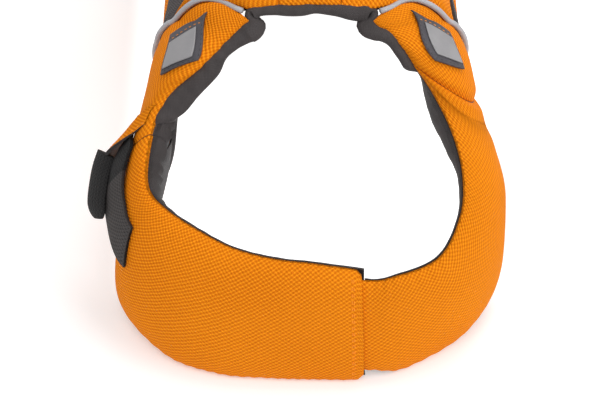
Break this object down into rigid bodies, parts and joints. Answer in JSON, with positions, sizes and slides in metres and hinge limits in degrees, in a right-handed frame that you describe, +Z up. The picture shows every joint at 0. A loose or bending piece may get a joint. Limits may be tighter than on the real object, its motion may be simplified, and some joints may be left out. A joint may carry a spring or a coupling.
{
  "type": "dog life jacket",
  "caption": "Padded dog life jacket with a thick chest band and collar, quilted back and side pads, belly panel with buckled straps, and a lifting handle.",
  "frame": {"origin": "middle of the belly panel's flat underside, on the surface that the jacket stands on", "axes": "-Y towards the chest, +Y towards the rump, +Z up to the handle, X across"},
  "size_m": [0.2328, 0.4199, 0.2423],
  "materials": {
    "orange_cloth": "woven polyester, matt with a soft sheen",
    "dark_lining": "plain woven lining, slight sheen",
    "grey_webbing": "woven webbing, matt",
    "grey_stretch": "stretch cloth, matt",
    "reflective_piping": "light grey reflective piping",
    "label_frame": "coated grey label, satin",
    "label_patch": "light grey reflective patch, plain",
    "buckle_plastic": "moulded nylon, satin"
  },
  "bodies": {
    "root": {"chest_sleeve": "orange_cloth", "neck_tube": "orange_cloth", "shoulder_left": "orange_cloth", "shoulder_right": "orange_cloth", "neck_flap": "orange_cloth", "back_centre": "orange_cloth", "back_left": "orange_cloth", "back_right": "orange_cloth", "side_left": "orange_cloth", "side_right": "orange_cloth", "belly_panel": "orange_cloth", "lining_sleeve": "dark_lining", "lining_tube": "dark_lining", "lining_shoulder_left": "dark_lining", "lining_shoulder_right": "dark_lining", "neck_edge": "dark_lining", "neck_strap": "grey_webbing", "strap_tail": "grey_webbing", "belly_strap_left_front": "grey_webbing", "belly_strap_left_rear": "grey_webbing", "belly_strap_upper_front": "grey_webbing", "belly_strap_upper_rear": "grey_webbing", "belly_strap_lower_front": "grey_webbing", "belly_strap_lower_rear": "grey_webbing", "handle_front": "grey_webbing", "handle_rear": "grey_webbing", "handle_grip": "grey_webbing", "gusset_left": "grey_stretch", "gusset_right": "grey_stretch", "piping_left": "reflective_piping", "piping_right": "reflective_piping", "label_left": "label_frame", "label_right": "label_frame", "patch_left": "label_patch", "patch_right": "label_patch", "buckle_plug_front": "buckle_plastic", "buckle_plug_rear": "buckle_plastic", "buckle_socket_front": "buckle_plastic", "buckle_socket_rear": "buckle_plastic"}
  },
  "joints": []
}
